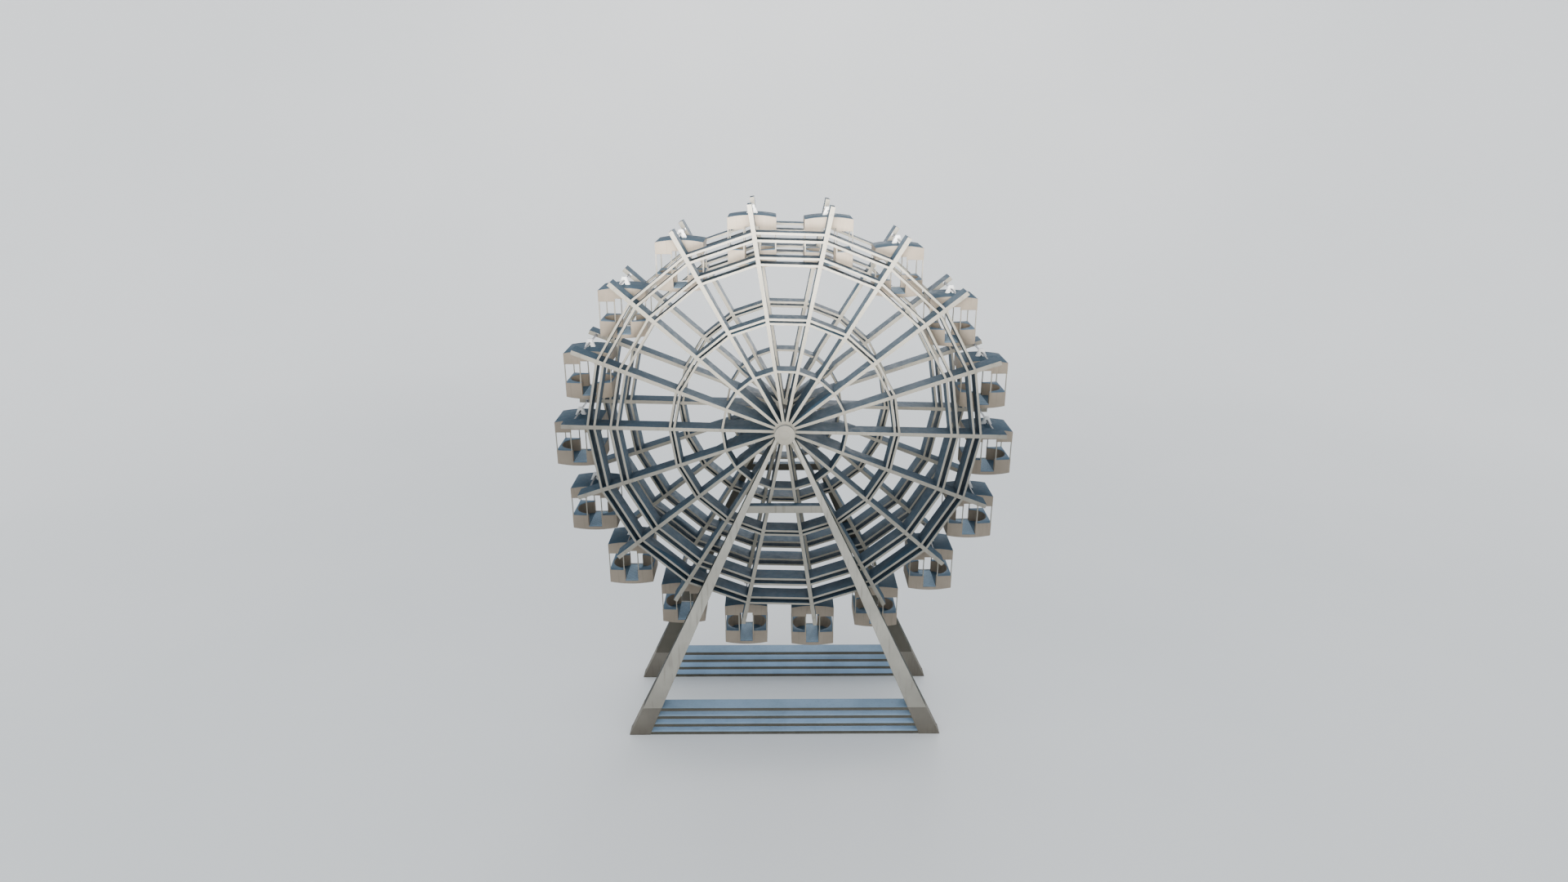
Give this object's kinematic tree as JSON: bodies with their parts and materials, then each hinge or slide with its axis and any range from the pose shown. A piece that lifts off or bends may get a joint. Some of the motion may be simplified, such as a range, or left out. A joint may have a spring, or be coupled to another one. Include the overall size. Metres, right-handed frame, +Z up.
{
  "type": "ferris wheel",
  "caption": "Ferris wheel with two lattice discs on outer A-frames; open roofed cabins hang between the discs and stay level as it turns.",
  "frame": {"origin": "on the ground under the hub, midway between the two A-frames", "axes": "+Z up, +Y along the main axle from the front to the rear, +X to the right seen from the front"},
  "size_m": [20.5634, 5.7206, 24.819],
  "materials": {
    "frame_cream": "satin cream paint on steel plate",
    "frame_slate": "satin slate-blue paint on the broad flanks of the steel plates",
    "cabin_cream": "semi-gloss cream paint on cabin panels",
    "cabin_slate": "satin slate-blue paint on roofs, seats and floors",
    "hanger_white": "white gloss paint on the cabin hangers",
    "axle_steel": "bare machined steel"
  },
  "bodies": {
    "support": {"front_left_foot": "frame_cream", "front_right_foot": "frame_cream", "front_left_leg": "frame_cream", "front_right_leg": "frame_cream", "front_cross_beam": "frame_cream", "front_bearing_head": "frame_cream", "front_base_board_1": "frame_cream", "front_base_board_2": "frame_cream", "front_base_board_3": "frame_cream", "front_base_board_4": "frame_cream", "rear_left_foot": "frame_cream", "rear_right_foot": "frame_cream", "rear_left_leg": "frame_cream", "rear_right_leg": "frame_cream", "rear_cross_beam": "frame_cream", "rear_bearing_head": "frame_cream", "rear_base_board_1": "frame_cream", "rear_base_board_2": "frame_cream", "rear_base_board_3": "frame_cream", "rear_base_board_4": "frame_cream"},
    "wheel": {"front_wheel_disc": "frame_cream", "rear_wheel_disc": "frame_cream", "main_axle": "axle_steel", "cabin_axle_01": "axle_steel", "cabin_axle_02": "axle_steel", "cabin_axle_03": "axle_steel", "cabin_axle_04": "axle_steel", "cabin_axle_05": "axle_steel", "cabin_axle_06": "axle_steel", "cabin_axle_07": "axle_steel", "cabin_axle_08": "axle_steel", "cabin_axle_09": "axle_steel", "cabin_axle_10": "axle_steel", "cabin_axle_11": "axle_steel", "cabin_axle_12": "axle_steel", "cabin_axle_13": "axle_steel", "cabin_axle_14": "axle_steel", "cabin_axle_15": "axle_steel", "cabin_axle_16": "axle_steel", "cabin_axle_17": "axle_steel", "cabin_axle_18": "axle_steel"},
    "cabin_01_body": {"cabin_01": "cabin_cream"},
    "cabin_02_body": {"cabin_02": "cabin_cream"},
    "cabin_03_body": {"cabin_03": "cabin_cream"},
    "cabin_04_body": {"cabin_04": "cabin_cream"},
    "cabin_05_body": {"cabin_05": "cabin_cream"},
    "cabin_06_body": {"cabin_06": "cabin_cream"},
    "cabin_07_body": {"cabin_07": "cabin_cream"},
    "cabin_08_body": {"cabin_08": "cabin_cream"},
    "cabin_09_body": {"cabin_09": "cabin_cream"},
    "cabin_10_body": {"cabin_10": "cabin_cream"},
    "cabin_11_body": {"cabin_11": "cabin_cream"},
    "cabin_12_body": {"cabin_12": "cabin_cream"},
    "cabin_13_body": {"cabin_13": "cabin_cream"},
    "cabin_14_body": {"cabin_14": "cabin_cream"},
    "cabin_15_body": {"cabin_15": "cabin_cream"},
    "cabin_16_body": {"cabin_16": "cabin_cream"},
    "cabin_17_body": {"cabin_17": "cabin_cream"},
    "cabin_18_body": {"cabin_18": "cabin_cream"}
  },
  "joints": [
    {"name": "wheel_spin", "type": "hinge", "parent": "support", "child": "wheel", "pos_m": [0, 0, 15.28], "axis": [0, 1, 0], "continuous": true},
    {"name": "cabin_01_swing", "type": "hinge", "parent": "wheel", "child": "cabin_01_body", "pos_m": [9.26165, 0, 15.03101], "axis": [0, 1, 0], "continuous": true},
    {"name": "cabin_02_swing", "type": "hinge", "parent": "wheel", "child": "cabin_02_body", "pos_m": [8.78827, 0, 18.21369], "axis": [0, 1, 0], "continuous": true},
    {"name": "cabin_03_swing", "type": "hinge", "parent": "wheel", "child": "cabin_03_body", "pos_m": [7.25489, 0, 21.04254], "axis": [0, 1, 0], "continuous": true},
    {"name": "cabin_04_swing", "type": "hinge", "parent": "wheel", "child": "cabin_04_body", "pos_m": [4.84646, 0, 23.17633], "axis": [0, 1, 0], "continuous": true},
    {"name": "cabin_05_swing", "type": "hinge", "parent": "wheel", "child": "cabin_05_body", "pos_m": [1.85348, 0, 24.35771], "axis": [0, 1, 0], "continuous": true},
    {"name": "cabin_06_swing", "type": "hinge", "parent": "wheel", "child": "cabin_06_body", "pos_m": [-1.36306, 0, 24.44419], "axis": [0, 1, 0], "continuous": true},
    {"name": "cabin_07_swing", "type": "hinge", "parent": "wheel", "child": "cabin_07_body", "pos_m": [-4.41519, 0, 23.42533], "axis": [0, 1, 0], "continuous": true},
    {"name": "cabin_08_swing", "type": "hinge", "parent": "wheel", "child": "cabin_08_body", "pos_m": [-6.93479, 0, 21.42402], "axis": [0, 1, 0], "continuous": true},
    {"name": "cabin_09_swing", "type": "hinge", "parent": "wheel", "child": "cabin_09_body", "pos_m": [-8.61795, 0, 18.68165], "axis": [0, 1, 0], "continuous": true},
    {"name": "cabin_10_swing", "type": "hinge", "parent": "wheel", "child": "cabin_10_body", "pos_m": [-9.26165, 0, 15.529], "axis": [0, 1, 0], "continuous": true},
    {"name": "cabin_11_swing", "type": "hinge", "parent": "wheel", "child": "cabin_11_body", "pos_m": [-8.78827, 0, 12.34631], "axis": [0, 1, 0], "continuous": true},
    {"name": "cabin_12_swing", "type": "hinge", "parent": "wheel", "child": "cabin_12_body", "pos_m": [-7.25489, 0, 9.51746], "axis": [0, 1, 0], "continuous": true},
    {"name": "cabin_13_swing", "type": "hinge", "parent": "wheel", "child": "cabin_13_body", "pos_m": [-4.84646, 0, 7.38367], "axis": [0, 1, 0], "continuous": true},
    {"name": "cabin_14_swing", "type": "hinge", "parent": "wheel", "child": "cabin_14_body", "pos_m": [-1.85348, 0, 6.20229], "axis": [0, 1, 0], "continuous": true},
    {"name": "cabin_15_swing", "type": "hinge", "parent": "wheel", "child": "cabin_15_body", "pos_m": [1.36306, 0, 6.11581], "axis": [0, 1, 0], "continuous": true},
    {"name": "cabin_16_swing", "type": "hinge", "parent": "wheel", "child": "cabin_16_body", "pos_m": [4.41519, 0, 7.13467], "axis": [0, 1, 0], "continuous": true},
    {"name": "cabin_17_swing", "type": "hinge", "parent": "wheel", "child": "cabin_17_body", "pos_m": [6.93479, 0, 9.13598], "axis": [0, 1, 0], "continuous": true},
    {"name": "cabin_18_swing", "type": "hinge", "parent": "wheel", "child": "cabin_18_body", "pos_m": [8.61795, 0, 11.87835], "axis": [0, 1, 0], "continuous": true}
  ],
  "couplings": [
    {"joint": "cabin_01_swing", "follows": "wheel_spin", "ratio": -1},
    {"joint": "cabin_02_swing", "follows": "wheel_spin", "ratio": -1},
    {"joint": "cabin_03_swing", "follows": "wheel_spin", "ratio": -1},
    {"joint": "cabin_04_swing", "follows": "wheel_spin", "ratio": -1},
    {"joint": "cabin_05_swing", "follows": "wheel_spin", "ratio": -1},
    {"joint": "cabin_06_swing", "follows": "wheel_spin", "ratio": -1},
    {"joint": "cabin_07_swing", "follows": "wheel_spin", "ratio": -1},
    {"joint": "cabin_08_swing", "follows": "wheel_spin", "ratio": -1},
    {"joint": "cabin_09_swing", "follows": "wheel_spin", "ratio": -1},
    {"joint": "cabin_10_swing", "follows": "wheel_spin", "ratio": -1},
    {"joint": "cabin_11_swing", "follows": "wheel_spin", "ratio": -1},
    {"joint": "cabin_12_swing", "follows": "wheel_spin", "ratio": -1},
    {"joint": "cabin_13_swing", "follows": "wheel_spin", "ratio": -1},
    {"joint": "cabin_14_swing", "follows": "wheel_spin", "ratio": -1},
    {"joint": "cabin_15_swing", "follows": "wheel_spin", "ratio": -1},
    {"joint": "cabin_16_swing", "follows": "wheel_spin", "ratio": -1},
    {"joint": "cabin_17_swing", "follows": "wheel_spin", "ratio": -1},
    {"joint": "cabin_18_swing", "follows": "wheel_spin", "ratio": -1}
  ]
}
